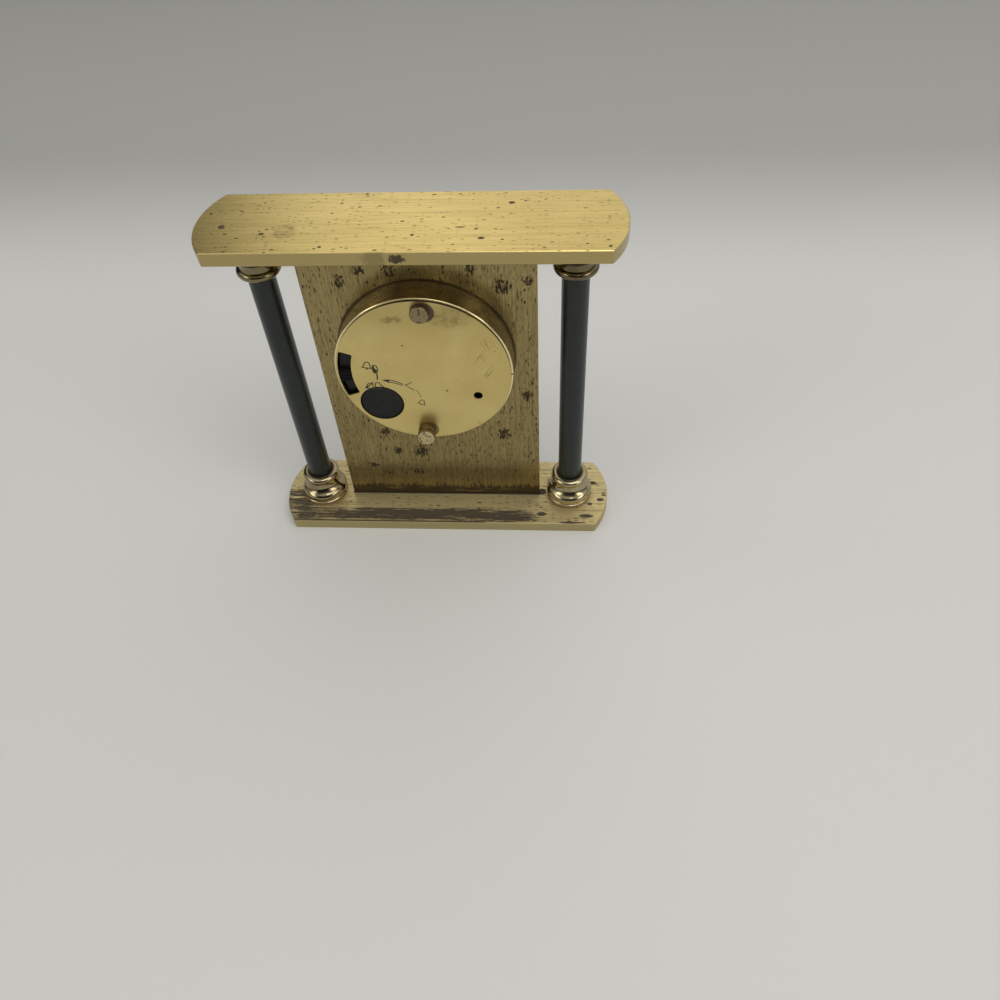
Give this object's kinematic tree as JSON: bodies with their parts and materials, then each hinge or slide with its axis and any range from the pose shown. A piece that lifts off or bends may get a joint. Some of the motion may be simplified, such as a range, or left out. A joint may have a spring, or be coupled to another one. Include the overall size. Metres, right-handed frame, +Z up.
{
  "type": "desk clock",
  "caption": "Small brass desk clock: dark columns between bow-ended plates hold an upright plate with a round dial in front and an alarm movement in a drum behind.",
  "frame": {"origin": "middle of the underside of the base plate, on the table", "axes": "+Z up, +X along the plates, -Y out of the dial, +Y out of the drum with the knob and lever"},
  "size_m": [0.1176, 0.03, 0.114],
  "materials": {
    "plate_brass": "brushed and aged",
    "turned_brass": "polished",
    "drum_brass": "satin",
    "nut_brass": "knurled and tarnished",
    "column_lacquer": "semi-gloss lacquer",
    "screw_steel": "zinc plated",
    "black_plastic": "moulded",
    "white_plastic": "moulded",
    "arbor_brass": "turned",
    "dial_paint": "matt ivory",
    "hand_black": "gloss",
    "hand_gold": "stamped",
    "clear_glass": "clear",
    "magnet": "sintered",
    "copper_wire": "enamelled winding",
    "board_green": "solder mask",
    "cell_steel": "plated"
  },
  "bodies": {
    "clock_frame": {"base_plate": "plate_brass", "top_plate": "plate_brass", "centre_plate": "plate_brass", "column_left": "column_lacquer", "column_right": "column_lacquer", "foot_ferrule_left": "turned_brass", "foot_ferrule_right": "turned_brass", "head_ferrule_left": "turned_brass", "head_ferrule_right": "turned_brass", "tie_screw_left": "screw_steel", "tie_screw_right": "screw_steel", "bezel_ring": "turned_brass", "bezel_screws": "screw_steel", "dial_glass": "clear_glass", "dial_disc": "dial_paint", "bushing_nut": "turned_brass", "case_front": "black_plastic", "case_rear": "black_plastic", "train_bridge": "white_plastic", "cover_stud_upper": "screw_steel", "cover_stud_lower": "screw_steel", "lever_clip": "screw_steel", "button_cell": "cell_steel", "contact_minus": "screw_steel", "contact_plus": "screw_steel", "piezo_buzzer": "black_plastic", "stator": "screw_steel", "coil": "copper_wire", "circuit_board": "board_green", "quartz_crystal": "cell_steel"},
    "rear_cover": {"movement_can": "drum_brass", "rear_disc": "drum_brass"},
    "thumb_nut_upper": {"thumb_nut_upper": "nut_brass"},
    "thumb_nut_lower": {"thumb_nut_lower": "nut_brass"},
    "alarm_lever": {"alarm_lever": "black_plastic"},
    "minute_hand": {"minute_hand": "hand_black", "cannon_pinion": "arbor_brass"},
    "hour_hand": {"hour_hand": "hand_black", "hour_wheel": "white_plastic"},
    "minute_wheel": {"minute_wheel": "white_plastic"},
    "setting_knob": {"setting_knob": "black_plastic", "setting_arbor": "screw_steel"},
    "alarm_hand": {"alarm_hand": "hand_gold", "alarm_wheel": "white_plastic"},
    "alarm_pinion": {"alarm_pinion": "white_plastic"},
    "second_hand": {"second_hand": "hand_gold", "second_wheel": "arbor_brass"},
    "third_wheel": {"third_wheel": "white_plastic"},
    "centre_wheel": {"centre_wheel": "white_plastic"},
    "intermediate_wheel": {"intermediate_wheel": "white_plastic"},
    "rotor": {"rotor": "magnet"}
  },
  "joints": [
    {"name": "minute_hand_turn", "type": "hinge", "parent": "clock_frame", "child": "minute_hand", "pos_m": [0, 0, 0.069], "axis": [0, 1, 0], "continuous": true},
    {"name": "hour_hand_turn", "type": "hinge", "parent": "clock_frame", "child": "hour_hand", "pos_m": [0, 0, 0.069], "axis": [0, 1, 0], "continuous": true},
    {"name": "minute_wheel_turn", "type": "hinge", "parent": "clock_frame", "child": "minute_wheel", "pos_m": [0.012, 0, 0.06896], "axis": [0, 1, 0], "continuous": true},
    {"name": "setting_knob_turn", "type": "hinge", "parent": "clock_frame", "child": "setting_knob", "pos_m": [0.0144, 0, 0.0572], "axis": [0, 1, 0], "continuous": true},
    {"name": "second_hand_turn", "type": "hinge", "parent": "clock_frame", "child": "second_hand", "pos_m": [0, 0, 0.069], "axis": [0, 1, 0], "continuous": true},
    {"name": "third_wheel_turn", "type": "hinge", "parent": "clock_frame", "child": "third_wheel", "pos_m": [-0.00799, 0, 0.06609], "axis": [0, 1, 0], "continuous": true},
    {"name": "centre_wheel_turn", "type": "hinge", "parent": "clock_frame", "child": "centre_wheel", "pos_m": [0, 0, 0.069], "axis": [0, 1, 0], "continuous": true},
    {"name": "intermediate_wheel_turn", "type": "hinge", "parent": "clock_frame", "child": "intermediate_wheel", "pos_m": [0.00779, 0, 0.0645], "axis": [0, 1, 0], "continuous": true},
    {"name": "rotor_turn", "type": "hinge", "parent": "clock_frame", "child": "rotor", "pos_m": [0.0048, 0, 0.05628], "axis": [0, 1, 0], "continuous": true},
    {"name": "alarm_hand_turn", "type": "hinge", "parent": "clock_frame", "child": "alarm_hand", "pos_m": [0, 0, 0.069], "axis": [0, 1, 0], "continuous": true},
    {"name": "alarm_pinion_turn", "type": "hinge", "parent": "clock_frame", "child": "alarm_pinion", "pos_m": [0.0144, 0, 0.0572], "axis": [0, 1, 0], "continuous": true},
    {"name": "alarm_lever_swing", "type": "hinge", "parent": "clock_frame", "child": "alarm_lever", "pos_m": [0, 0, 0.069], "axis": [0, -1, 0], "range_deg": [-11, 15]},
    {"name": "rear_cover_pull", "type": "slide", "parent": "clock_frame", "child": "rear_cover", "axis": [0, 1, 0], "range_m": [0, 0.03]},
    {"name": "thumb_nut_upper_turn", "type": "hinge", "parent": "rear_cover", "child": "thumb_nut_upper", "pos_m": [-0.00131, 0, 0.09176], "axis": [0, 1, 0], "continuous": true},
    {"name": "thumb_nut_lower_turn", "type": "hinge", "parent": "rear_cover", "child": "thumb_nut_lower", "pos_m": [0.00131, 0, 0.04624], "axis": [0, 1, 0], "continuous": true}
  ],
  "couplings": [
    {"joint": "hour_hand_turn", "follows": "minute_hand_turn", "ratio": 0.083333},
    {"joint": "minute_wheel_turn", "follows": "minute_hand_turn", "ratio": -0.33333},
    {"joint": "setting_knob_turn", "follows": "minute_hand_turn", "ratio": 1},
    {"joint": "third_wheel_turn", "follows": "second_hand_turn", "ratio": -0.13333},
    {"joint": "centre_wheel_turn", "follows": "second_hand_turn", "ratio": 0.016667},
    {"joint": "intermediate_wheel_turn", "follows": "second_hand_turn", "ratio": -5},
    {"joint": "rotor_turn", "follows": "second_hand_turn", "ratio": 30},
    {"joint": "alarm_pinion_turn", "follows": "alarm_hand_turn", "ratio": -5.1667}
  ]
}
